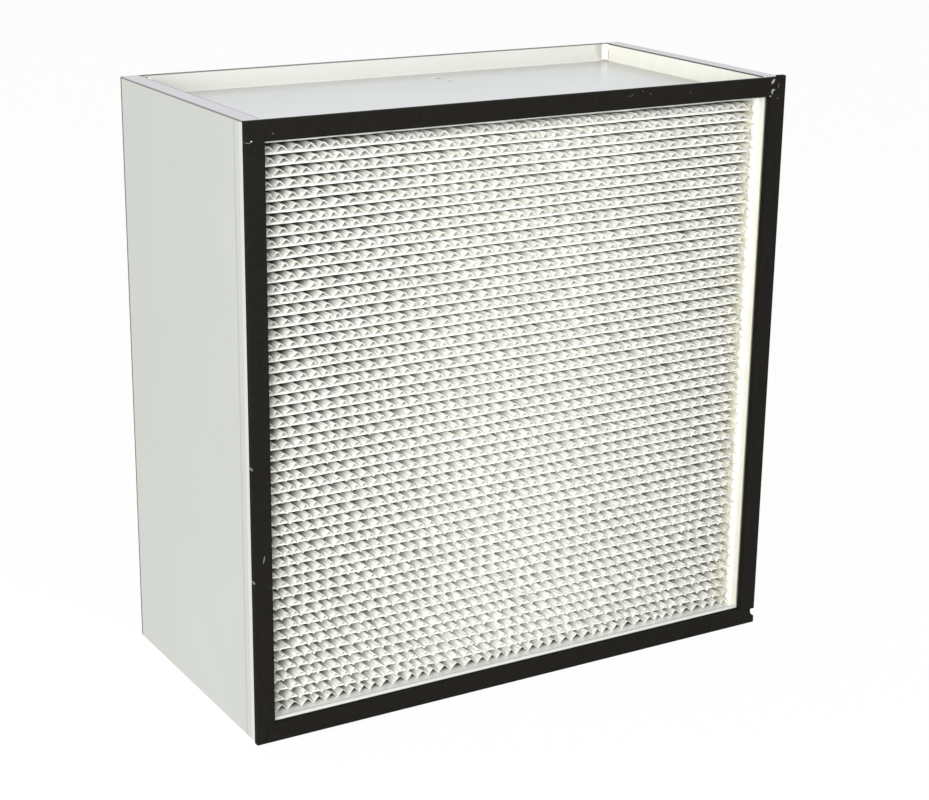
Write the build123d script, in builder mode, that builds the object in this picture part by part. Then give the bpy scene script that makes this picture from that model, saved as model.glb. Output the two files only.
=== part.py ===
from build123d import *
import os

os.makedirs("parts", exist_ok=True)

# Axes: X to the right, Y from the gasket to the back, Z up.
# The origin is the bottom centre of the whole filter. Lengths are in millimetres.

# Casing of galvanised sheet: two side trays, with a top and a bottom channel between them
casing_width = 610.0
casing_height = 610.0
casing_depth = 292.0
sheet = 1.5
bend_radius = 2.5
tray_wall = 20.0
tray_seam = 0.4
channel_flange = 20.0
channel_gap = 0.2
tongue_length = 8.0
tongue_inset = 15.0

# Gasket of four sponge strips that lock into each other at the corners
gasket_thickness = 6.35
gasket_width = 19.05
gasket_gap = 0.2
hook_width = 5.8
lap_width = 8.6
lap_height = 8.0
keyhole_radius = 0.8
notch_depth = 5.0
notch_height = 3.8
notch_round = 5.0
notch_sag = 0.6
butt_height = 16.4
corner_stand = 1.5

# Pack of one folded sheet of glass paper, with corrugated separators in its pleats
pleat_count = 52
paper = 0.5
fold_bevel = 1.6
separator_setback = 11.0
fold_setback = 8.5
separator_sheet = 0.4
corrugation_count = 43
pack_clearance = 0.1
front_separator_pockets = range(3, pleat_count + 1, 7)
rear_separator_pockets = range(7, pleat_count + 1, 14)

# Bead of sealant in the rear right corner of the top recess
bead_radius = 6.0
bead_below_rim = 0.8
bead_top_round = 2.0

# Places worked out from the sizes above
half_width = casing_width / 2
total_depth = casing_depth + gasket_thickness
gasket_front = -total_depth / 2
casing_front = gasket_front + gasket_thickness
casing_back = total_depth / 2
casing_middle = (casing_front + casing_back) / 2
bend_inside = bend_radius - sheet
rim = half_width - tray_wall
web_top = casing_height - channel_flange
pack_top = web_top - sheet
pack_bottom = channel_flange + sheet
pack_half_width = rim - pack_clearance


def export(piece, name):
    piece.part.label = name
    export_step(piece.part, f"parts/{name}.step")


def make_side_tray(side, name):
    # A shallow pan: the flat outer panel, and four walls bent towards the pack
    with BuildPart() as tray:
        with BuildSketch(Plane.YZ.offset(side * half_width)):
            with Locations((casing_middle, casing_height / 2)):
                Rectangle(casing_depth, casing_height)
        extrude(amount=-side * tray_wall)
        panel = tray.faces().sort_by(Axis.X)[0 if side < 0 else -1]
        fillet(panel.edges(), bend_radius)
        mouth = tray.faces().sort_by(Axis.X)[-1 if side < 0 else 0]
        offset(amount=-sheet, openings=mouth)
        # The top and bottom walls end a hairline short of the front and back walls
        seam_length = tray_wall - bend_radius
        seam_middle = side * (rim + seam_length / 2)
        front_seam = casing_front + sheet + tray_seam / 2
        back_seam = casing_back - sheet - tray_seam / 2
        with Locations(
            (seam_middle, front_seam, sheet / 2),
            (seam_middle, back_seam, sheet / 2),
            (seam_middle, front_seam, casing_height - sheet / 2),
            (seam_middle, back_seam, casing_height - sheet / 2),
        ):
            Box(seam_length, tray_seam, sheet, mode=Mode.SUBTRACT)
    export(tray, name)


def make_potting(side, name):
    # Cast level with the rims of the tray, round the tongues of both channels
    with BuildPart() as potting:
        with BuildSketch(Plane.YZ.offset(side * (half_width - sheet))):
            with Locations((casing_middle, casing_height / 2)):
                Rectangle(casing_depth - 2 * sheet, casing_height - 2 * sheet)
        extrude(amount=-side * (tray_wall - sheet))
        panel = potting.faces().sort_by(Axis.X)[0 if side < 0 else -1]
        fillet(panel.edges(), bend_inside)
        tongue_middle = side * (rim + tongue_length / 2)
        with Locations(
            (tongue_middle, casing_middle, channel_flange + sheet / 2),
            (tongue_middle, casing_middle, web_top - sheet / 2),
        ):
            Box(tongue_length, casing_depth - 2 * tongue_inset, sheet, mode=Mode.SUBTRACT)
    export(potting, name)


def make_channel(rim_height, web_height, name):
    # One sheet bent to a U, with both flanges turned away from the pack.
    # web_height is the middle of the web, and rim_height is where the flanges end.
    front_line = casing_front + sheet / 2
    back_line = casing_back - sheet / 2
    half_length = rim - channel_gap
    with BuildPart() as channel:
        with BuildSketch(Plane.YZ.offset(-half_length)):
            with BuildLine():
                FilletPolyline(
                    (front_line, rim_height),
                    (front_line, web_height),
                    (back_line, web_height),
                    (back_line, rim_height),
                    radius=bend_radius - sheet / 2,
                )
            trace(line_width=sheet)
        extrude(amount=2 * half_length)
        # Both ends of the web run on into the potting as tongues
        with Locations((0, casing_middle, web_height)):
            Box(2 * (rim + tongue_length), casing_depth - 2 * tongue_inset, sheet)
    export(channel, name)


def make_gasket(outline, keyhole, name):
    with BuildPart() as strip:
        with BuildSketch(Plane.XZ.offset(-casing_front)):
            with BuildLine():
                Polyline(*outline, close=True)
            make_face()
            if keyhole:
                with Locations(keyhole):
                    Circle(keyhole_radius, mode=Mode.SUBTRACT)
        extrude(amount=gasket_thickness)
    export(strip, name)


def fold_outside(fold, inward, upper, lower):
    # The outer skin of a fold at depth fold, from the upper leaf to the lower one
    return [
        (fold + inward * fold_bevel, upper),
        (fold, upper - fold_bevel),
        (fold, lower + fold_bevel),
        (fold + inward * fold_bevel, lower),
    ]


def fold_inside(fold, inward, upper, lower):
    # The inner skin, one sheet thickness in, with the smaller bevel that keeps it even
    skin = fold + inward * paper
    bevel = fold_bevel - (2 - 2 ** 0.5) * paper
    return [
        (skin + inward * bevel, upper),
        (skin, upper - bevel),
        (skin, lower + bevel),
        (skin + inward * bevel, lower),
    ]


# Side trays, with their potting
make_side_tray(-1, "side_tray_left")
make_side_tray(1, "side_tray_right")
make_potting(-1, "potting_left")
make_potting(1, "potting_right")

# Top and bottom channels
make_channel(casing_height, web_top - sheet / 2, "top_channel")
make_channel(0, channel_flange + sheet / 2, "bottom_channel")

# Gasket strips. Each corner is cut so that one strip locks into the next.
opening = half_width - gasket_width
sill = gasket_width
head = casing_height - gasket_width
gap = gasket_gap / 2
lap_line = half_width - lap_width
notch_line = half_width - notch_depth
top_lap = head + gasket_width - lap_height
bottom_lap = sill - lap_height
hook_line = half_width - hook_width

left_outline = [
    (-half_width, 0),
    (-lap_line - gap, 0),
    (-lap_line - gap, bottom_lap + gap),
    (-opening, bottom_lap + gap),
    (-opening, top_lap - gap),
    (-hook_line + gap, top_lap - gap),
    (-hook_line + gap, head - gap),
    (-half_width, head - gap),
]
top_outline = [
    (-half_width, head + gap),
    (-hook_line - gap, head + gap),
    (-hook_line - gap, top_lap + gap),
    (-opening + gap, top_lap + gap),
    (-opening + gap, head),
    (opening - gap, head),
    (opening - gap, top_lap + gap),
    (lap_line - gap, top_lap + gap),
    (lap_line - gap, casing_height),
    (-half_width, casing_height),
]
right_outline = [
    (opening, butt_height + gap),
    (half_width, butt_height + gap),
    (half_width, casing_height + corner_stand),
    (lap_line + gap, casing_height + corner_stand),
    (lap_line + gap, top_lap - gap),
    (opening, top_lap - gap),
]
keyhole = (-hook_line, head)
make_gasket(left_outline, keyhole, "gasket_left")
make_gasket(top_outline, keyhole, "gasket_top")
make_gasket(right_outline, None, "gasket_right")

# The bottom strip has a rounded step at its right end, which leaves a notch in the corner
with BuildPart() as gasket_bottom:
    with BuildSketch(Plane.XZ.offset(-casing_front)):
        with BuildLine():
            Polyline(
                (notch_line, butt_height - gap),
                (opening, butt_height - gap),
                (opening, sill),
                (-opening + gap, sill),
                (-opening + gap, bottom_lap - gap),
                (-lap_line + gap, bottom_lap - gap),
                (-lap_line + gap, 0),
                (half_width, 0),
                (half_width, butt_height - notch_height - notch_round),
            )
            SagittaArc(
                (half_width, butt_height - notch_height - notch_round),
                (notch_line, butt_height - notch_height),
                notch_sag,
            )
            Line((notch_line, butt_height - notch_height), (notch_line, butt_height - gap))
        make_face()
    extrude(amount=gasket_thickness)
export(gasket_bottom, "gasket_bottom")

# The folded sheet of glass paper. Its leaves lie level, one leaf_pitch apart, and each
# pleat is closed at the front, then at the back.
leaf_pitch = (pack_top - pack_bottom) / (2 * pleat_count)
separator_front = casing_front + separator_setback
separator_back = casing_back - separator_setback
fold_front = separator_front + fold_setback
fold_back = separator_back - fold_setback
leaf_top = pack_top - pack_clearance

upper_skin = [(fold_back, leaf_top)]
lower_skin = [(fold_back, leaf_top - paper)]
for pleat in range(pleat_count):
    top_leaf = leaf_top - 2 * pleat * leaf_pitch
    low_leaf = top_leaf - leaf_pitch
    next_leaf = low_leaf - leaf_pitch
    upper_skin += fold_outside(fold_front, 1, top_leaf, low_leaf - paper)
    lower_skin += fold_inside(fold_front, 1, top_leaf - paper, low_leaf)
    if pleat < pleat_count - 1:
        upper_skin += fold_inside(fold_back, -1, low_leaf - paper, next_leaf)
        lower_skin += fold_outside(fold_back, -1, low_leaf, next_leaf - paper)
# The tail of the sheet turns down onto the bottom web
tail_foot = pack_bottom + pack_clearance
upper_skin += fold_inside(fold_back, -1, low_leaf - paper, tail_foot)[:2]
upper_skin += [(fold_back - paper, tail_foot)]
lower_skin += fold_outside(fold_back, -1, low_leaf, tail_foot)[:2]
lower_skin += [(fold_back, tail_foot)]

with BuildPart() as media_pack:
    with BuildSketch(Plane.YZ.offset(-pack_half_width)):
        with BuildLine():
            Polyline(*upper_skin, *reversed(lower_skin), close=True)
        make_face()
    extrude(amount=2 * pack_half_width)
export(media_pack, "media_pack")


def make_separator(pocket_floor, front, back, name):
    # A sheet pressed to a zigzag, whose ridges and valleys run from front to back.
    # It stands between two leaves of the pack, a clearance off each.
    crest = pocket_floor + leaf_pitch - paper - pack_clearance
    trough = pocket_floor + pack_clearance
    half_pitch = pack_half_width / corrugation_count
    flank = (half_pitch ** 2 + (crest - trough) ** 2) ** 0.5
    upright_sheet = separator_sheet * flank / half_pitch
    ridges = []
    for step in range(2 * corrugation_count + 1):
        height = crest if step % 2 == 0 else trough + upright_sheet
        ridges.append((step * half_pitch - pack_half_width, height))
    underside = [(place, height - upright_sheet) for place, height in ridges]
    with BuildPart() as separator:
        with BuildSketch(Plane.XZ.offset(-front)):
            with BuildLine():
                Polyline(*ridges, *reversed(underside), close=True)
            make_face()
        extrude(amount=front - back)
    export(separator, name)


# Separators. Front ones stand in the pockets that open forwards, rear ones in the others.
# They end where the bevel of the fold starts. Pockets are counted from the top.
for pocket in front_separator_pockets:
    floor = leaf_top - 2 * pocket * leaf_pitch
    inner_end = fold_back - paper - fold_bevel
    make_separator(floor, separator_front, inner_end, f"separator_front_{pocket:02d}")
for pocket in rear_separator_pockets:
    floor = leaf_top - (2 * pocket - 1) * leaf_pitch
    inner_end = fold_front + paper + fold_bevel
    make_separator(floor, inner_end, separator_back, f"separator_rear_{pocket:02d}")

# Sealant bead where the back flange meets the right tray
with BuildPart() as corner_sealant:
    with BuildSketch(Plane.XY.offset(web_top)):
        with Locations((rim, casing_back - sheet)):
            Circle(bead_radius)
            Rectangle(2 * bead_radius, bead_radius, align=(Align.CENTER, Align.MIN), mode=Mode.SUBTRACT)
            Rectangle(bead_radius, 2 * bead_radius, align=(Align.MIN, Align.CENTER), mode=Mode.SUBTRACT)
    extrude(amount=channel_flange - bead_below_rim)
    heel = corner_sealant.edges().filter_by(Axis.X).group_by(Axis.Z)[0].sort_by(Axis.Y)[-1]
    fillet(heel, bend_inside)
    crown = corner_sealant.edges().filter_by(GeomType.CIRCLE).sort_by(Axis.Z)[-1]
    fillet(crown, bead_top_round)
export(corner_sealant, "corner_sealant")
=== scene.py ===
import math
import bpy
import numpy as np
from mathutils import Matrix, Vector


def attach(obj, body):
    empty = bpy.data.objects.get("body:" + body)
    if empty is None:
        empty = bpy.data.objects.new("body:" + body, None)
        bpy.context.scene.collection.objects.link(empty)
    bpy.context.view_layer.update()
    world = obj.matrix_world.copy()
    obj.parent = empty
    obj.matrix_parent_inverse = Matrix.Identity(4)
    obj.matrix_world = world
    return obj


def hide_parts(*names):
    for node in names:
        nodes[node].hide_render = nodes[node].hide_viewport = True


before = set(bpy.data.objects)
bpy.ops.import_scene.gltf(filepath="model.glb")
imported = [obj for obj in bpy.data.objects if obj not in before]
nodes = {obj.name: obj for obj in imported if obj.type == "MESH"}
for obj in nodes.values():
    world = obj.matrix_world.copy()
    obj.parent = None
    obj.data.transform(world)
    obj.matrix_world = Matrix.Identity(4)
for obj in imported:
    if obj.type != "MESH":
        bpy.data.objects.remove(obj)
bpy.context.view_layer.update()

# ---------------------------------------------------------------- studio
# Camera to the left of the filter, in front of it and above it.
# The filter stands on a white floor, under soft lamps and a white sky.
camera_place = Vector((-1.0413, -1.7626, 0.9159))
camera_azimuth = math.radians(-30.9)
camera_elevation = math.radians(17.63)
camera_roll = math.radians(0.75)
camera_lens = 77.95
floor_reach = 8
floor_glow = 0.94
sky_light = 0.45
sky_seen = 1.0

back = Vector((math.sin(camera_azimuth) * math.cos(camera_elevation),
               -math.cos(camera_azimuth) * math.cos(camera_elevation),
               math.sin(camera_elevation)))
right = (-back).cross(Vector((0, 0, 1))).normalized()
up = right.cross(-back)
rolled_right = math.cos(camera_roll) * right + math.sin(camera_roll) * up
rolled_up = math.cos(camera_roll) * up - math.sin(camera_roll) * right
camera_data = bpy.data.cameras.new("camera")
camera_data.sensor_width = 36
camera_data.lens = camera_lens
camera = bpy.data.objects.new("camera", camera_data)
camera.matrix_world = Matrix.Translation(camera_place) @ Matrix(
    (rolled_right, rolled_up, back)).transposed().to_4x4()
bpy.context.collection.objects.link(camera)
bpy.context.scene.camera = camera
bpy.context.scene.view_settings.view_transform = "Standard"


def add_node(tree, kind, settings=None, values=None):
    """A node of that kind, with its settings and the values of its unlinked sockets."""
    node = tree.nodes.new(kind)
    for name, value in (settings or {}).items():
        setattr(node, name, value)
    for socket, value in (values or {}).items():
        node.inputs[socket].default_value = value
    return node


def new_material(name):
    """An empty node material, with its tree and its output node."""
    material = bpy.data.materials.new(name)
    material.use_nodes = True
    material.node_tree.nodes.clear()
    output = material.node_tree.nodes.new("ShaderNodeOutputMaterial")
    return material, material.node_tree, output


# The camera and reflections see a floor that is nearly all glow, other rays a matte one
floor_material, tree, output = new_material("studio_floor")
matte = add_node(tree, "ShaderNodeBsdfDiffuse", values={"Color": (0.82, 0.82, 0.82, 1)})
glow = add_node(tree, "ShaderNodeEmission", values={"Color": (1, 1, 1, 1), "Strength": 1.0})
path = add_node(tree, "ShaderNodeLightPath")
seen = add_node(tree, "ShaderNodeMath", {"operation": "MAXIMUM"})
share = add_node(tree, "ShaderNodeMath", {"operation": "MULTIPLY"}, {1: floor_glow})
mix = add_node(tree, "ShaderNodeMixShader")
tree.links.new(path.outputs["Is Camera Ray"], seen.inputs[0])
tree.links.new(path.outputs["Is Glossy Ray"], seen.inputs[1])
tree.links.new(seen.outputs[0], share.inputs[0])
tree.links.new(share.outputs[0], mix.inputs["Fac"])
tree.links.new(matte.outputs[0], mix.inputs[1])
tree.links.new(glow.outputs[0], mix.inputs[2])
tree.links.new(mix.outputs[0], output.inputs["Surface"])

floor_mesh = bpy.data.meshes.new("studio_floor")
floor_corners = [(-floor_reach, -floor_reach, 0), (floor_reach, -floor_reach, 0),
                 (floor_reach, floor_reach, 0), (-floor_reach, floor_reach, 0)]
floor_mesh.from_pydata(floor_corners, [], [(0, 1, 2, 3)])
floor = bpy.data.objects.new("studio_floor", floor_mesh)
floor_mesh.materials.append(floor_material)
bpy.context.collection.objects.link(floor)

# The sky is white where it is seen, and dimmer as a source of light
world = bpy.data.worlds.new("studio_sky")
world.use_nodes = True
tree = world.node_tree
tree.nodes.clear()
sky = add_node(tree, "ShaderNodeBackground", values={"Color": (1, 1, 1, 1)})
output = add_node(tree, "ShaderNodeOutputWorld")
path = add_node(tree, "ShaderNodeLightPath")
level = add_node(tree, "ShaderNodeMix", {"data_type": "FLOAT"}, {"A": sky_light, "B": sky_seen})
seen = None
for ray in ("Is Camera Ray", "Is Glossy Ray", "Is Transmission Ray"):
    either = add_node(tree, "ShaderNodeMath", {"operation": "MAXIMUM"})
    tree.links.new(path.outputs[ray], either.inputs[0])
    if seen:
        tree.links.new(seen.outputs[0], either.inputs[1])
    seen = either
tree.links.new(seen.outputs[0], level.inputs["Factor"])
tree.links.new(level.outputs["Result"], sky.inputs["Strength"])
tree.links.new(sky.outputs[0], output.inputs["Surface"])
bpy.context.scene.world = world


def add_lamp(name, place, target, size, power):
    """A square soft box at place that faces target."""
    lamp = bpy.data.lights.new(name, "AREA")
    lamp.shape = "SQUARE"
    lamp.size = size
    lamp.energy = power
    holder = bpy.data.objects.new(name, lamp)
    facing = (Vector(target) - Vector(place)).to_track_quat("-Z", "Y")
    holder.matrix_world = Matrix.Translation(Vector(place)) @ facing.to_matrix().to_4x4()
    bpy.context.collection.objects.link(holder)


add_lamp("key_lamp", (-2.3, -2.85, 1.4), (0, 0, 0.3), size=1.6, power=165)
add_lamp("fill_lamp", (2.4, -2.0, 1.4), (0, 0, 0.3), size=1.8, power=5)
add_lamp("top_lamp", (-0.2, 0.3, 2.8), (0, 0, 0.5), size=1.8, power=8)

# ---------------------------------------------------------------- casing
# Two side trays and two channels of galvanised sheet, cut, bent and tacked in the corners.
# The zinc is satin, with a fine grain and faint clouds. Its bends and cut edges get painted
# shade.
# Ramps and ovals lie in the filter's frame, in metres. Most ovals reach 10 mm into a surface.
zinc_front = (0.715, 0.73, 0.69)
zinc_rear_shade = (0.65, 0.665, 0.625)
zinc_top_reflection = (0.575, 0.57, 0.60)
zinc_edge_shade = (0.15, 0.15, 0.14)
flange_lit = (0.62, 0.62, 0.585)
resin_cream = (0.72, 0.72, 0.635)
line_grey = (0.48, 0.49, 0.47)
front_bend_highlight = (0.80, 0.81, 0.78)
top_bend_shade = (0.26, 0.26, 0.25)
web_rear_shadow = (0.52, 0.52, 0.50)
web_resin_shade = (0.49, 0.495, 0.475)
corner_patch_shade = (0.46, 0.45, 0.43)
smudge_pale = (0.85, 0.86, 0.86)
smudge_dark = (0.36, 0.36, 0.355)
chip_white = (0.95, 0.93, 0.90)
rust = (0.48, 0.33, 0.25)
sill_lip_shade = (0.62, 0.62, 0.60)
sill_crease_shade = (0.45, 0.45, 0.44)
pack_shadow = (0.12, 0.12, 0.115)
oval_outside = 1.15
oval_inside = 0.75
through = 0.01

blot = bpy.data.node_groups.new("blot", "ShaderNodeTree")
for socket_name in ("Point", "Centre", "Turn", "Radii"):
    blot.interface.new_socket(socket_name, in_out="INPUT", socket_type="NodeSocketVector")
blot.interface.new_socket("Mask", in_out="OUTPUT", socket_type="NodeSocketFloat")
entry = add_node(blot, "NodeGroupInput")
place = add_node(blot, "ShaderNodeMapping", {"vector_type": "TEXTURE"})
reach = add_node(blot, "ShaderNodeVectorMath", {"operation": "LENGTH"})
edge = add_node(blot, "ShaderNodeMapRange", values={
    "From Min": oval_outside, "From Max": oval_inside})
leave = add_node(blot, "NodeGroupOutput")
blot.links.new(entry.outputs["Point"], place.inputs["Vector"])
blot.links.new(entry.outputs["Centre"], place.inputs["Location"])
blot.links.new(entry.outputs["Turn"], place.inputs["Rotation"])
blot.links.new(entry.outputs["Radii"], place.inputs["Scale"])
blot.links.new(place.outputs[0], reach.inputs[0])
blot.links.new(reach.outputs["Value"], edge.inputs["Value"])
blot.links.new(edge.outputs["Result"], leave.inputs["Mask"])


def along(tree, point, axis):
    """One coordinate of the point."""
    split = add_node(tree, "ShaderNodeSeparateXYZ")
    tree.links.new(point, split.inputs[0])
    return split.outputs[axis]


def ramp(tree, value, start, end):
    """A mask that goes from 0 at start to 1 at end."""
    span = add_node(tree, "ShaderNodeMapRange", values={"From Min": start, "From Max": end})
    tree.links.new(value, span.inputs["Value"])
    return span.outputs["Result"]


def combine(tree, operation, one, other):
    """The product, sum or the like of two values, where other may be a number."""
    sum_node = add_node(tree, "ShaderNodeMath", {"operation": operation})
    tree.links.new(one, sum_node.inputs[0])
    if isinstance(other, (int, float)):
        sum_node.inputs[1].default_value = other
    else:
        tree.links.new(other, sum_node.inputs[1])
    return sum_node.outputs[0]


def band(tree, value, rise, fall):
    """A mask that is 1 between two ramps, each a start and an end."""
    return combine(tree, "MULTIPLY", ramp(tree, value, *rise), ramp(tree, value, *fall))


def tinted(tree, base, mask, colour, share=1):
    """The base colour, turned into the other colour, or a share of it, where the mask is 1."""
    if share < 1:
        mask = combine(tree, "MULTIPLY", mask, share)
    mix = add_node(tree, "ShaderNodeMix", {"data_type": "RGBA"}, {"B": (*colour, 1)})
    tree.links.new(mask, mix.inputs["Factor"])
    tree.links.new(base, mix.inputs["A"])
    return mix.outputs["Result"]


def spotted(tree, point, base, colour, marks):
    """The base colour with soft-edged ovals of another.
    Each mark is its centre, its radii and its turn about Y in degrees."""
    for centre, radii, turn in marks:
        oval = add_node(tree, "ShaderNodeGroup", {"node_tree": blot},
                        {"Centre": centre, "Radii": radii, "Turn": (0, math.radians(turn), 0)})
        tree.links.new(point, oval.inputs["Point"])
        base = tinted(tree, base, oval.outputs["Mask"], colour)
    return base


def make_zinc(name, light, dark, roughness, grain):
    """Satin zinc: two colours mixed by clouds and a fine grain, which also vary the gloss.
    Returned with its tree, the point in the filter's frame, its colour and its shader."""
    material, tree, output = new_material(name)
    place = add_node(tree, "ShaderNodeTexCoord")
    clouds = add_node(tree, "ShaderNodeTexNoise", values={"Scale": 9.0, "Detail": 3.0})
    speckle = add_node(tree, "ShaderNodeTexNoise", values={"Scale": 420.0, "Detail": 3.0})
    both = add_node(tree, "ShaderNodeMix", {"data_type": "FLOAT"}, {"Factor": grain})
    spread = add_node(tree, "ShaderNodeMapRange", values={"From Min": 0.32, "From Max": 0.68})
    tint = add_node(tree, "ShaderNodeMix", {"data_type": "RGBA"},
                    {"A": (*dark, 1), "B": (*light, 1)})
    gloss = add_node(tree, "ShaderNodeMapRange",
                     values={"To Min": roughness + 0.05, "To Max": roughness - 0.05})
    bump = add_node(tree, "ShaderNodeBump", values={"Strength": 0.08, "Distance": 0.0002})
    metal = add_node(tree, "ShaderNodeBsdfPrincipled", values={"Metallic": 1.0})
    tree.links.new(place.outputs["Object"], clouds.inputs["Vector"])
    tree.links.new(place.outputs["Object"], speckle.inputs["Vector"])
    tree.links.new(clouds.outputs["Fac"], both.inputs["A"])
    tree.links.new(speckle.outputs["Fac"], both.inputs["B"])
    tree.links.new(both.outputs["Result"], spread.inputs["Value"])
    tree.links.new(spread.outputs["Result"], tint.inputs["Factor"])
    tree.links.new(spread.outputs["Result"], gloss.inputs["Value"])
    tree.links.new(speckle.outputs["Fac"], bump.inputs["Height"])
    tree.links.new(gloss.outputs["Result"], metal.inputs["Roughness"])
    tree.links.new(bump.outputs["Normal"], metal.inputs["Normal"])
    tree.links.new(metal.outputs[0], output.inputs["Surface"])
    return material, tree, place.outputs["Object"], tint.outputs["Result"], metal


def cover(node_name, material):
    """The node's own mesh keeps its shape, and gets this material."""
    solid = nodes[node_name]
    solid.data.materials.clear()
    solid.data.materials.append(material)


# Side trays: painted shade darkens them towards the rear. They have a faint line and a painted
# highlight by the front edge, a painted lavender sky reflection on the top walls, and painted
# shade on the rear and top bends and on the inner cut edges, over which some resin is smeared
# at the front
side_zinc, tree, point, colour, metal = make_zinc(
    "galvanised_side", light=zinc_front, dark=tuple(0.9 * part for part in zinc_front),
    roughness=0.45, grain=0.55)
height = along(tree, point, "Z")
depth = along(tree, point, "Y")
width = combine(tree, "ABSOLUTE", along(tree, point, "X"), 0.0)
# Painted shade: the trays darken towards the rear.
colour = tinted(tree, colour, ramp(tree, depth, -0.13, 0.15), zinc_rear_shade)
faint_line = band(tree, depth, (-0.1235, -0.1245), (-0.1275, -0.1265))
colour = tinted(tree, colour, faint_line, line_grey, 0.5)
# Painted highlight: a bright strip on the front bend.
colour = tinted(tree, colour, ramp(tree, depth, -0.1345, -0.1365), front_bend_highlight, 0.7)
# Painted reflection: the top walls take a lavender sky tone.
colour = tinted(tree, colour, ramp(tree, height, 0.6086, 0.6094), zinc_top_reflection)
# Painted shade: a dark line along the top bend.
top_bend = ramp(tree, combine(tree, "ADD", width, height), 0.9132, 0.9134)
colour = tinted(tree, colour, top_bend, top_bend_shade)
# Painted shade: dark lines on the rear bend and on the inner cut edges.
rear_bend = band(tree, depth, (0.1440, 0.1450), (0.1488, 0.1484))
rear_bend = combine(tree, "MULTIPLY", rear_bend, ramp(tree, width, 0.3030, 0.3036))
colour = tinted(tree, colour, rear_bend, zinc_edge_shade)
cut_edge = ramp(tree, width, 0.2862, 0.2856)
colour = tinted(tree, colour, cut_edge, zinc_edge_shade)
smeared = combine(tree, "MULTIPLY", ramp(tree, width, 0.2870, 0.2864),
                  ramp(tree, depth, -0.136, -0.138))
colour = tinted(tree, colour, smeared, resin_cream)
tree.links.new(colour, metal.inputs["Base Color"])
cover("side_tray_left", side_zinc)
cover("side_tray_right", side_zinc)

# Top channel: bluish web with smudges, painted shadow towards the back and painted shade by the
# right resin. The rear flange is painted lighter, as if lit, with painted shade on its rim, a
# patch of painted shade by the sealant, and a chipped corner
web_top = 0.59
flange_face = 0.1477
web_zinc, tree, point, colour, metal = make_zinc(
    "galvanised_web", light=(0.68, 0.70, 0.705), dark=(0.64, 0.66, 0.665),
    roughness=0.38, grain=0.3)
height = along(tree, point, "Z")
depth = along(tree, point, "Y")
rear_flange = ramp(tree, depth, 0.1446, 0.1466)
# Painted shadow: the web darkens towards the rear flange.
colour = tinted(tree, colour, ramp(tree, depth, 0.105, 0.142), web_rear_shadow, 0.75)
# Painted shade: the web darkens by the right resin.
by_resin = ramp(tree, along(tree, point, "X"), 0.245, 0.284)
colour = tinted(tree, colour, by_resin, web_resin_shade, 0.75)
# Painted light: the rear flange is painted lighter, as if lit from the front.
colour = tinted(tree, colour, rear_flange, flange_lit)
# Painted shade: a darker patch on the flange's end by the sealant.
colour = spotted(tree, point, colour, corner_patch_shade, [
    ((0.2835, flange_face, 0.604), (0.013, 0.004, 0.016), -20)])
colour = spotted(tree, point, colour, smudge_pale, [
    ((0.0418, 0.1190, web_top), (0.0045, 0.0030, through), 0)])
colour = spotted(tree, point, colour, smudge_dark, [
    ((0.0418, 0.1114, web_top), (0.0042, 0.0036, through), 0),
    ((0.0432, 0.0902, web_top), (0.0026, 0.0028, through), 0)])
# Painted shade: a dark line along the rim of the rear flange.
dark_rim = combine(tree, "MULTIPLY", rear_flange, ramp(tree, height, 0.6085, 0.6090))
colour = tinted(tree, colour, dark_rim, zinc_edge_shade)
colour = spotted(tree, point, colour, chip_white, [
    ((-0.2752, flange_face, 0.6046), (0.0009, through, 0.0030), 25),
    ((-0.2724, flange_face, 0.6046), (0.0009, through, 0.0030), -30)])
colour = spotted(tree, point, colour, rust, [
    ((-0.2738, flange_face, 0.6010), (0.0018, through, 0.0013), 0),
    ((-0.2765, flange_face, 0.6075), (0.0015, through, 0.0008), 20)])
tree.links.new(colour, metal.inputs["Base Color"])
dull = combine(tree, "MULTIPLY", rear_flange, -0.7)
tree.links.new(combine(tree, "ADD", dull, 1.0), metal.inputs["Metallic"])
cover("top_channel", web_zinc)

# Bottom channel: pale and less metallic, with painted shade on the lip and crease of its front
# bend, and a painted shadow under the pack
sill_zinc, tree, point, colour, metal = make_zinc(
    "galvanised_sill", light=(0.88, 0.88, 0.85), dark=(0.70, 0.70, 0.675),
    roughness=0.34, grain=0.35)
depth = along(tree, point, "Y")
# Painted shade: a grey strip on the front bend.
colour = tinted(tree, colour, ramp(tree, depth, -0.1400, -0.1412), sill_lip_shade)
# Painted shade: a thin dark line in the crease of the front bend.
crease = band(tree, depth, (-0.1386, -0.1391), (-0.1400, -0.1396))
colour = tinted(tree, colour, crease, sill_crease_shade)
# Painted shadow: the web is dark under the pack.
under_pack = band(tree, depth, (-0.1305, -0.1240), (0.137, 0.130))
colour = tinted(tree, colour, under_pack, pack_shadow)
tree.links.new(colour, metal.inputs["Base Color"])
metal.inputs["Metallic"].default_value = 0.3
cover("bottom_channel", sill_zinc)

# ---------------------------------------------------------------- potting
# Cream two-part resin, poured into each tray while the ends of the pack stand in it.
# It sets level with the rims, and creeps a few millimetres up the ends of the pack.
casing_front = -0.142825
casing_back = 0.149175
casing_height = 0.610
half_width = 0.305
sheet = 0.0015
rim = 0.285
pack_top = 0.5885
pack_bottom = 0.0215
separator_setback = 0.011
separator_front = casing_front + separator_setback
separator_back = casing_back - separator_setback
creep = 0.0045
creep_lumps = 0.0005
creep_start = 0.0015
creep_slope = 0.005
level_count = 310
web_levels = (0.02, 0.59)


def ripple(seed, rows, x, longest, shortest, waves):
    """For each row, waves of random length and phase along x, added up, mostly within 1."""
    draw = np.random.default_rng(seed)
    turns = 2 * np.pi / draw.uniform(shortest, longest, (rows, waves, 1))
    phase = draw.uniform(0, 2 * np.pi, (rows, waves, 1))
    return np.sin(turns * x + phase).sum(axis=1) / np.sqrt(waves)


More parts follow.
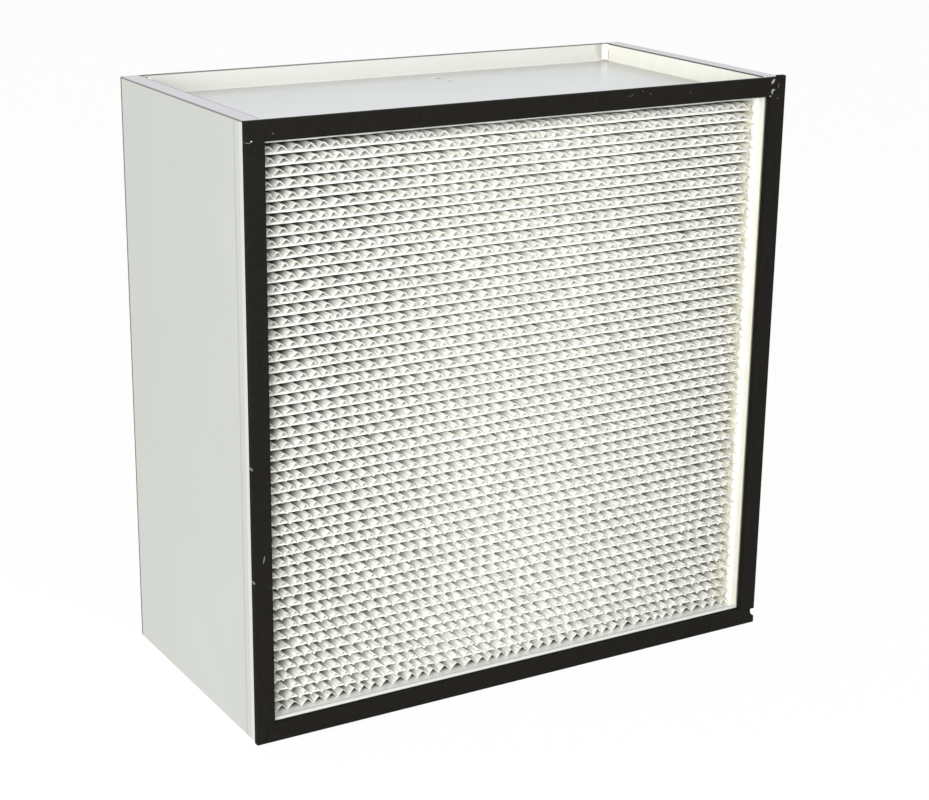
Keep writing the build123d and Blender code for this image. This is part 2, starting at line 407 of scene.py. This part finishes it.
def add_strips(name, loops, material, sharp_angle):
    """Closed strips from an array [strip, station, point, xyz].
    Each station's points go round the strip, and the first and last stations are capped."""
    strips, stations, around, _ = loops.shape
    index = np.arange(strips * stations * around).reshape(strips, stations, around)
    here = index[:, :-1]
    ahead = index[:, 1:]
    sides = np.stack([here, np.roll(here, -1, 2), np.roll(ahead, -1, 2), ahead], -1)
    caps = [index[:, 0, ::-1].reshape(-1), index[:, -1].reshape(-1)]
    corners = np.concatenate([sides.reshape(-1), *caps])
    quads = sides.size // 4
    starts = np.concatenate([4 * np.arange(quads), 4 * quads + around * np.arange(2 * strips)])
    totals = np.concatenate([np.full(quads, 4), np.full(2 * strips, around)])
    mesh = bpy.data.meshes.new(name)
    mesh.vertices.add(index.size)
    mesh.vertices.foreach_set("co", loops.reshape(-1).astype(np.float32))
    mesh.loops.add(corners.size)
    mesh.loops.foreach_set("vertex_index", corners.astype(np.int32))
    mesh.polygons.add(starts.size)
    mesh.polygons.foreach_set("loop_start", starts.astype(np.int32))
    mesh.polygons.foreach_set("loop_total", totals.astype(np.int32))
    mesh.update(calc_edges=True)
    mesh.validate()
    mesh.polygons.foreach_set("use_smooth", np.ones(starts.size, bool))
    mesh.set_sharp_from_angle(angle=math.radians(sharp_angle))
    mesh.materials.append(material)
    piece = bpy.data.objects.new(name, mesh)
    bpy.context.collection.objects.link(piece)
    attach(piece, "root")
    return piece


def make_matte(name, dark, light, scale, detail, roughness, strength, distance):
    """A matte material: two colours mixed by a noise, which also raises the surface.
    Returned with its tree, the point in the filter's frame, its colour and its shader."""
    material, tree, output = new_material(name)
    place = add_node(tree, "ShaderNodeTexCoord")
    noise = add_node(tree, "ShaderNodeTexNoise", values={"Scale": scale, "Detail": detail})
    tint = add_node(tree, "ShaderNodeMix", {"data_type": "RGBA"},
                    {"A": (*dark, 1), "B": (*light, 1)})
    bump = add_node(tree, "ShaderNodeBump", values={"Strength": strength, "Distance": distance})
    shader = add_node(tree, "ShaderNodeBsdfPrincipled", values={"Roughness": roughness})
    tree.links.new(place.outputs["Object"], noise.inputs["Vector"])
    tree.links.new(noise.outputs["Fac"], tint.inputs["Factor"])
    tree.links.new(noise.outputs["Fac"], bump.inputs["Height"])
    tree.links.new(tint.outputs["Result"], shader.inputs["Base Color"])
    tree.links.new(bump.outputs["Normal"], shader.inputs["Normal"])
    tree.links.new(shader.outputs[0], output.inputs["Surface"])
    return material, tree, place.outputs["Object"], tint.outputs["Result"], shader


potting_material = make_matte(
    "potting_resin", dark=(0.64, 0.64, 0.57), light=(0.73, 0.73, 0.655),
    scale=60.0, detail=4.0, roughness=0.5, strength=0.3, distance=0.0008)[0]

for side, node_name in ((-1, "potting_left"), (1, "potting_right")):
    # Level by level from the bottom: the cast face from front to back, then the hidden back
    levels = np.concatenate([
        [sheet, web_levels[0]], np.linspace(pack_bottom, pack_top, level_count),
        [web_levels[1], casing_height - sheet]])
    within = ((levels >= pack_bottom) & (levels <= pack_top)).astype(float)[:, None]
    depth = np.concatenate([
        [casing_front + sheet], np.linspace(separator_front - 0.004, separator_front + 0.004, 9),
        np.linspace(separator_front + 0.012, separator_back - 0.012, 12),
        np.linspace(separator_back - 0.004, separator_back + 0.004, 9), [casing_back - sheet]])
    from_edge = np.minimum(depth - separator_front, separator_back - depth)
    slope = np.clip((from_edge + creep_start) / creep_slope, 0, 1)
    rise = (slope ** 2 * (3 - 2 * slope))[None, :]
    lumps = creep_lumps * ripple(
        11 + side, depth.size, levels, longest=0.03, shortest=0.006, waves=5).T
    face = side * (rim - within * rise * (creep + lumps))
    loops = np.empty((1, levels.size, depth.size + 2, 3))
    loops[0, :, :-2, 0] = face
    loops[0, :, :-2, 1] = depth
    loops[0, :, -2:, 0] = side * (half_width - sheet)
    loops[0, :, -2:, 1] = [casing_back - sheet, casing_front + sheet]
    loops[0, :, :, 2] = levels[:, None]
    if side > 0:
        loops = loops[:, :, ::-1]
    resin_block = add_strips(
        f"resin_{node_name.split('_')[1]}", loops, potting_material, sharp_angle=40)
    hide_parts(node_name)

# ---------------------------------------------------------------- pleated paper
# One long sheet of white glass-fibre paper, folded to and fro into 104 leaves.
# The folds are pressed by machine, so each wanders a little.
leaves = 104
paper = 0.0005
leaf_pitch = (pack_top - pack_bottom) / leaves
leaf_top = pack_top - 0.0001
fold_setback = 0.0085
fold_front = separator_front + fold_setback
fold_back = separator_back - fold_setback
fold_radius = 0.0010
fold_pinch = 0.00172
fold_reach = 0.010
fold_wander_y = 0.0003
fold_wander_z = 0.00022
pack_half_width = 0.2849
column_count = 46

media_material = make_matte(
    "glass_paper", dark=(0.86, 0.86, 0.82), light=(0.93, 0.93, 0.885),
    scale=300.0, detail=3.0, roughness=0.85, strength=0.3, distance=0.0003)[0]

# The middle line of the paper in the side view: leaf, bend, bend, leaf for each fold
fold = np.arange(leaves - 1)[:, None]
at_front = fold % 2 == 0
bend = np.radians([90, 135, 180])
upper = leaf_top - paper / 2 - fold * leaf_pitch
reach = fold_radius * (1 + np.cos(bend))
reach = np.concatenate([[fold_reach], reach, reach[::-1], [fold_reach]])
drop = fold_pinch + fold_radius * (1 - np.sin(bend))
drop = np.concatenate([[0], drop, leaf_pitch - drop[::-1], [leaf_pitch]])
line_y = np.where(at_front, fold_front + paper / 2 + reach, fold_back - paper / 2 - reach)
line_z = upper - drop
columns = np.linspace(-pack_half_width, pack_half_width, column_count)
loose = (reach < fold_reach).astype(float)[None, :, None]
wander_y = ripple(21, leaves - 1, columns, longest=0.25, shortest=0.03, waves=4)
wander_z = ripple(22, leaves - 1, columns, longest=0.25, shortest=0.03, waves=4)
wander_y = wander_y[:, None, :] * fold_wander_y * loose
wander_z = wander_z[:, None, :] * fold_wander_z * loose
path_y = (line_y[:, :, None] + wander_y).reshape(-1, columns.size)
path_z = (line_z[:, :, None] + wander_z).reshape(-1, columns.size)
# Both ends of the sheet: its head at the back of the top leaf, its tail on the bottom web
head = [[fold_back], [leaf_top - paper / 2]]
last = leaf_top - paper / 2 - (leaves - 1) * leaf_pitch
tail_back = fold_back - paper / 2
tail_y = np.array([tail_back - fold_radius, tail_back, tail_back])
tail_z = np.array([last, last - fold_radius, pack_bottom + 0.0001])
across = np.ones((1, columns.size))
path_y = np.concatenate([head[0] * across, path_y, tail_y[:, None] * across])
path_z = np.concatenate([head[1] * across, path_z, tail_z[:, None] * across])
run_y = np.gradient(path_y, axis=0)
run_z = np.gradient(path_z, axis=0)
length = np.hypot(run_y, run_z)
skin_y = -run_z / length * paper / 2
skin_z = run_y / length * paper / 2
stations = np.moveaxis(np.array([
    np.concatenate([path_y - skin_y, (path_y + skin_y)[::-1]]),
    np.concatenate([path_z - skin_z, (path_z + skin_z)[::-1]])]), 0, -1)
loops = np.empty((1, columns.size, stations.shape[0], 3))
loops[0, :, :, 0] = columns[:, None]
loops[0, :, :, 1:] = np.moveaxis(stations, 0, 1)
pleated_paper = add_strips("pleated_paper", loops, media_material, sharp_angle=50)
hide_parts("media_pack")

# ---------------------------------------------------------------- separators
# Thin sheets pressed to a zigzag, one in each pleat, 52 from the front and 52 from the back.
# Their edges stand 8.5 mm proud of the folds, and no two rows line up. Painted shade darkens
# them with depth, more so at the sides, and the right ends have a brown stain.
periods = 43
separator_sheet = 0.0004
flare = 1.5
droop = 0.0003
throat_depth = 0.020
inner_end = 0.0101
end_squeeze = 0.014
pitch_drift = 0.22
press_drift = 0.08
edge_wander = 0.00035
tip_sharpness = 0.99
tip_lean = 1.12
clear_below = 0.0003
clear_above = 0.0004
group_count = 4
group_rows = 13
stain_brown = (0.60, 0.575, 0.42)
depth_shade = (0.13, 0.13, 0.117)
pack_half_depth = (separator_back - separator_front) / 2
separator_material, tree, output = new_material("separator_sheet")
place = add_node(tree, "ShaderNodeTexCoord")
stretch = add_node(tree, "ShaderNodeMapping", values={"Scale": (520.0, 25.0, 520.0)})
streaks = add_node(tree, "ShaderNodeTexNoise", values={"Scale": 1.0, "Detail": 2.0})
tint = add_node(tree, "ShaderNodeMix", {"data_type": "RGBA"},
                {"A": (0.66, 0.66, 0.62, 1), "B": (0.95, 0.95, 0.905, 1)})
axes = add_node(tree, "ShaderNodeSeparateXYZ")
centred = add_node(tree, "ShaderNodeMath", {"operation": "SUBTRACT"},
                   {1: (separator_front + separator_back) / 2})
off_centre = add_node(tree, "ShaderNodeMath", {"operation": "ABSOLUTE"})
inside = add_node(tree, "ShaderNodeMapRange", values={
    "From Min": pack_half_depth - 0.002, "From Max": pack_half_depth - 0.036})
sideways = add_node(tree, "ShaderNodeMath", {"operation": "ABSOLUTE"})
outer = add_node(tree, "ShaderNodeMapRange", values={
    "From Min": 0.285, "From Max": 0.06, "To Min": 1.9, "To Max": 0.62})
inner = add_node(tree, "ShaderNodeMath", {"operation": "MULTIPLY"})
# Painted shade: the sheets darken with depth into the pack, more so at the sides.
shade = add_node(tree, "ShaderNodeMix", {"data_type": "RGBA"}, {"B": (*depth_shade, 1)})
bump = add_node(tree, "ShaderNodeBump", values={"Strength": 0.35, "Distance": 0.0002})
foil = add_node(tree, "ShaderNodeBsdfPrincipled", values={"Roughness": 0.5, "Metallic": 0.1})
tree.links.new(place.outputs["Object"], stretch.inputs["Vector"])
tree.links.new(stretch.outputs[0], streaks.inputs["Vector"])
tree.links.new(ramp(tree, streaks.outputs["Fac"], 0.34, 0.62), tint.inputs["Factor"])
tree.links.new(streaks.outputs["Fac"], bump.inputs["Height"])
tree.links.new(place.outputs["Object"], axes.inputs[0])
tree.links.new(axes.outputs["Y"], centred.inputs[0])
tree.links.new(centred.outputs[0], off_centre.inputs[0])
tree.links.new(off_centre.outputs[0], inside.inputs["Value"])
tree.links.new(axes.outputs["X"], sideways.inputs[0])
tree.links.new(sideways.outputs[0], outer.inputs["Value"])
tree.links.new(inside.outputs["Result"], inner.inputs[0])
tree.links.new(outer.outputs["Result"], inner.inputs[1])
tree.links.new(inner.outputs[0], shade.inputs["Factor"])
tree.links.new(tint.outputs["Result"], shade.inputs["A"])
ends = ramp(tree, axes.outputs["X"], 0.258, 0.284)
stained = tinted(tree, shade.outputs["Result"], ends, stain_brown, 0.6)
tree.links.new(stained, foil.inputs["Base Color"])
tree.links.new(bump.outputs["Normal"], foil.inputs["Normal"])
tree.links.new(foil.outputs[0], output.inputs["Surface"])


def separator_rows(seed, floors, front, back):
    """Zigzag sheets, one on each floor, as closed strips from left to right.
    The wave is an arcsine of a cosine, so its tips are slightly round. Each row starts at its
    own phase, its pitch drifts, and it closes up towards the potting at both ends.
    The mouth flares, but stays inside the pack."""
    draw = np.random.default_rng(seed)
    rows = floors.size
    steps = np.array([0, 0.03, 0.09, 0.25, 0.41, 0.47, 0.5, 0.53, 0.59, 0.75, 0.91, 0.97])
    turn = (np.arange(periods + 1)[:, None] + steps).reshape(-1)
    turn = np.append(turn, periods + 1)
    phase = draw.uniform(0, 1, (rows, 1))
    drift = pitch_drift * ripple(
        seed + 1, rows, turn / periods, longest=0.4, shortest=0.05, waves=5)
    place = np.clip((turn - phase + drift) / periods * 2 - 1, -1, 1)
    x = pack_half_width * ((1 + end_squeeze) * place - end_squeeze * place ** 21)
    wave = np.arcsin(tip_sharpness * np.cos(2 * np.pi * turn)) / np.arcsin(tip_sharpness)
    wave = 1 - 2 * ((1 - wave) / 2) ** tip_lean
    height = leaf_pitch - paper - 0.0002 - separator_sheet
    pressed = 1 - press_drift * np.abs(ripple(
        seed + 2, rows, turn / periods, longest=0.05, shortest=0.02, waves=2))
    middle = floors[:, None] + (leaf_pitch - paper) / 2
    z = middle + height / 2 * wave * pressed
    run_x = np.gradient(x, axis=1) + 1e-9
    run_z = np.gradient(z, axis=1)
    length = np.hypot(run_x, run_z)
    skin = separator_sheet / 2 * np.stack([-run_z / length, 0 * x, run_x / length], -1)
    edge = ripple(seed + 3, rows, x[0], longest=0.08, shortest=0.01, waves=4) * edge_wander
    bent = ripple(seed + 4, rows, x[0], longest=0.04, shortest=0.008, waves=3) * edge_wander
    lips = middle - droop + (z - middle) * flare
    lowest = lips.min(axis=1, keepdims=True)
    lips = lips + np.maximum(pack_bottom + clear_below - lowest, 0)
    lips = np.minimum(lips, pack_top - clear_above)
    mouth = np.stack([x + bent, front + edge, lips], -1)
    throat = np.stack([x, front + throat_depth + 0 * x, z], -1)
    end = np.stack([x, back + 0 * x, z], -1)
    return np.stack([mouth - skin, throat - skin, end - skin,
                     end + skin, throat + skin, mouth + skin], 2)


pockets = np.arange(1, leaves // 2 + 1)
front_floors = leaf_top - 2 * leaf_pitch * pockets
rear_floors = leaf_top - (2 * pockets - 1) * leaf_pitch
front_nodes = [f"separator_front_{pocket:02d}" for pocket in range(3, 53, 7)]
rear_nodes = [f"separator_rear_{pocket:02d}" for pocket in range(7, 53, 14)]
for group in range(group_count):
    rows = slice(group_rows * group, group_rows * (group + 1))
    front_loops = separator_rows(
        100 + 10 * group, front_floors[rows], separator_front, fold_back - inner_end)
    front_group = add_strips(
        f"separators_front_{group + 1}", front_loops, separator_material, sharp_angle=35)
    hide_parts(*front_nodes[2 * group:2 * group + 2])
    rear_loops = separator_rows(
        200 + 10 * group, rear_floors[rows], -separator_back, -fold_front - inner_end)
    rear_loops[..., 1] *= -1
    rear_group = add_strips(
        f"separators_rear_{group + 1}", rear_loops[:, :, ::-1], separator_material,
        sharp_angle=35)
    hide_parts(rear_nodes[group])

# ---------------------------------------------------------------- gasket
# Four strips of black sponge rubber, glued to the front of the casing. They keep their
# CAD meshes, and carry the photo's glue spots, slits, scuffs, pores and one nick.
gasket_height = 0.00635
face = casing_front - gasket_height
glue_grey = (0.30, 0.295, 0.28)
slit_black = (0.004, 0.0038, 0.0035)
scuff_grey = (0.14, 0.14, 0.13)
pore_brown = (0.055, 0.050, 0.046)
nick_pale = (0.62, 0.62, 0.60)
gasket_material, tree, output = new_material("sponge_rubber")
place = add_node(tree, "ShaderNodeTexCoord")
cells = add_node(tree, "ShaderNodeTexNoise", values={"Scale": 900.0, "Detail": 2.0})
clouds = add_node(tree, "ShaderNodeTexNoise", values={
    "Scale": 120.0, "Detail": 6.0, "Roughness": 0.7})
tint = add_node(tree, "ShaderNodeMix", {"data_type": "RGBA"},
                {"A": (0.0035, 0.003, 0.0022, 1), "B": (0.0115, 0.0105, 0.0085, 1)})
bump = add_node(tree, "ShaderNodeBump", values={"Strength": 0.5, "Distance": 0.0003})
sponge = add_node(tree, "ShaderNodeBsdfPrincipled", values={
    "Roughness": 0.9, "Specular IOR Level": 0.1})
tree.links.new(place.outputs["Object"], cells.inputs["Vector"])
tree.links.new(place.outputs["Object"], clouds.inputs["Vector"])
tree.links.new(clouds.outputs["Fac"], tint.inputs["Factor"])
tree.links.new(cells.outputs["Fac"], bump.inputs["Height"])
point = place.outputs["Object"]
colour = spotted(tree, point, tint.outputs["Result"], glue_grey, [
    ((0.2886, face, 0.6062), (0.0013, through, 0.0030), 38),
    ((0.2894, face, 0.5957), (0.0025, through, 0.0026), 0),
    ((0.2857, face, 0.5911), (0.0012, through, 0.0007), 0)])
colour = spotted(tree, point, colour, slit_black, [
    ((0.2907, face, 0.5949), (0.0022, through, 0.0021), 0),
    ((-0.2856, face, 0.0188), (0.0004, through, 0.0036), 0),
    ((-0.2940, face, 0.0090), (0.0004, through, 0.0042), 0)])
colour = spotted(tree, point, colour, scuff_grey, [
    ((0.2848, face, 0.5862), (0.0008, through, 0.0019), 8),
    ((-0.2945, face, 0.1925), (0.0007, through, 0.0040), 12),
    ((-0.3050, face, 0.2846), (0.0009, through, 0.0014), 0),
    ((-0.3050, face, 0.1705), (0.0009, through, 0.0014), 0),
    ((-0.3022, face, 0.5909), (0.0034, through, 0.0004), 6)])
colour = spotted(tree, point, colour, pore_brown, [
    ((0.1117, face, 0.6042), (0.0018, through, 0.0006), -40),
    ((0.1085, face, 0.6035), (0.0012, through, 0.0005), 30),
    ((0.1341, face, 0.6044), (0.0010, through, 0.0008), 0),
    ((0.1244, face, 0.6078), (0.0005, through, 0.0011), 0),
    ((0.2960, face, 0.6012), (0.0008, through, 0.0032), 0),
    ((-0.2780, face, 0.5977), (0.0011, through, 0.0009), 0),
    ((0.1834, face, 0.6020), (0.0009, through, 0.0008), 0),
    ((0.2953, face, 0.5885), (0.0008, through, 0.0010), 0)])
colour = spotted(tree, point, colour, nick_pale, [
    ((-0.2992, face, 0.5921), (0.0008, through, 0.0008), 0)])
tree.links.new(colour, sponge.inputs["Base Color"])
tree.links.new(bump.outputs["Normal"], sponge.inputs["Normal"])
tree.links.new(sponge.outputs[0], output.inputs["Surface"])
for edge_name in ("left", "top", "right", "bottom"):
    cover(f"gasket_{edge_name}", gasket_material)

# ---------------------------------------------------------------- sealant bead
# A bead of pale sealant, run down the rear right corner of the top recess.
# It is darker and browner at its foot and along its edge on the resin.
foot_brown = (0.30, 0.275, 0.20)
sealant, tree, point, colour, paste = make_matte(
    "corner_sealant", dark=(0.62, 0.61, 0.55), light=(0.82, 0.81, 0.75),
    scale=220.0, detail=2.0, roughness=0.5, strength=0.6, distance=0.002)
# Darker brown at the foot of the bead and along its edge.
colour = spotted(tree, point, colour, foot_brown, [
    ((0.2815, 0.1440, 0.5900), (0.0050, 0.0060, 0.0022), 0),
    ((0.2850, 0.1412, 0.5980), (0.0012, 0.0012, 0.0080), 0)])
tree.links.new(colour, paste.inputs["Base Color"])
cover("corner_sealant", sealant)
